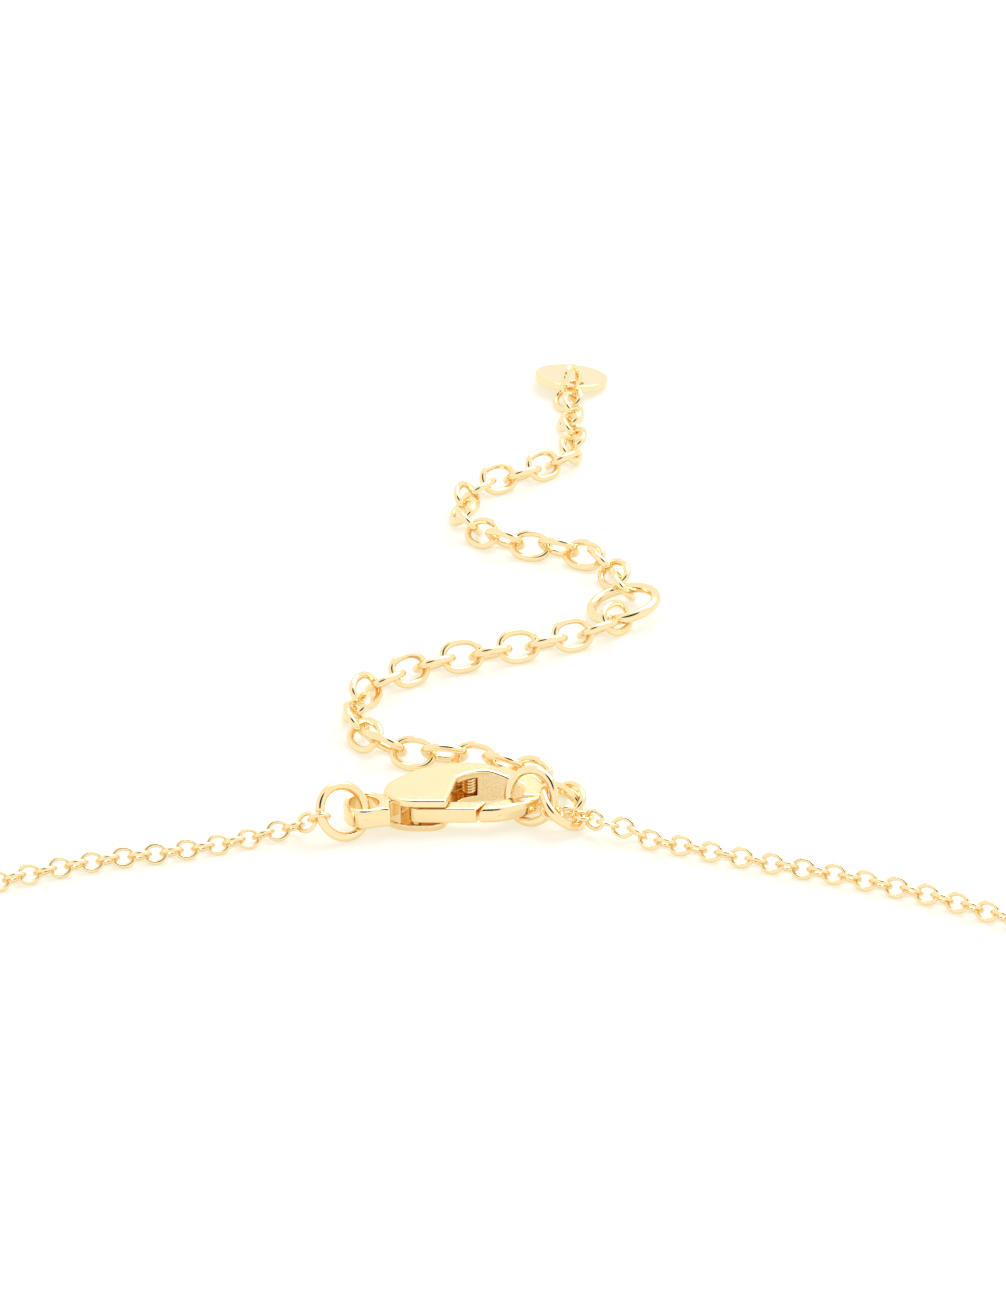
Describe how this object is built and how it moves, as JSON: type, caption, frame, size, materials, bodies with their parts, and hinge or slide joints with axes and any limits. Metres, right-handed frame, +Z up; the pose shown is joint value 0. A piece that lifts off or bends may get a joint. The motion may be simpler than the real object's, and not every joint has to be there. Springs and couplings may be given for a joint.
{
  "type": "initial pendant necklace",
  "caption": "Fine neck chain with a claw clasp, an extender chain that ends in a round disc, and a flat letter pendant on a jump ring, lying open on a flat surface.",
  "frame": {"origin": "the point of the flat surface under the claw clasp, on the clasp's lower face", "axes": "+X along the clasp from its tail eye to its nose, +Y from the clasp along the extender, +Z up from the surface"},
  "size_m": [0.125, 0.2141, 0.0036],
  "materials": {
    "clasp_gold": "polished, gold plated",
    "ring_gold": "polished, gold plated",
    "link_gold": "polished, gold plated",
    "chain_gold": "polished, gold plated",
    "pendant_gold": "polished, gold plated"
  },
  "bodies": {
    "necklace": {"clasp_body": "clasp_gold", "clasp_pin": "clasp_gold", "left_ring": "ring_gold", "claw_ring": "ring_gold", "extender_ring": "ring_gold", "extender_near": "link_gold", "middle_ring": "ring_gold", "extender_far": "link_gold", "end_ring": "ring_gold", "end_disc": "pendant_gold", "chain_left": "chain_gold", "chain_right": "chain_gold", "pendant": "pendant_gold", "pendant_ring": "ring_gold"},
    "clasp_lever": {"clasp_lever": "clasp_gold"}
  },
  "joints": [
    {"name": "lever_hinge", "type": "hinge", "parent": "necklace", "child": "clasp_lever", "pos_m": [-0.00205, -0.0014, 0.00105], "axis": [0, 0, 1], "range_deg": [0, 20], "stiffness_Nm_per_rad": 0.002}
  ]
}
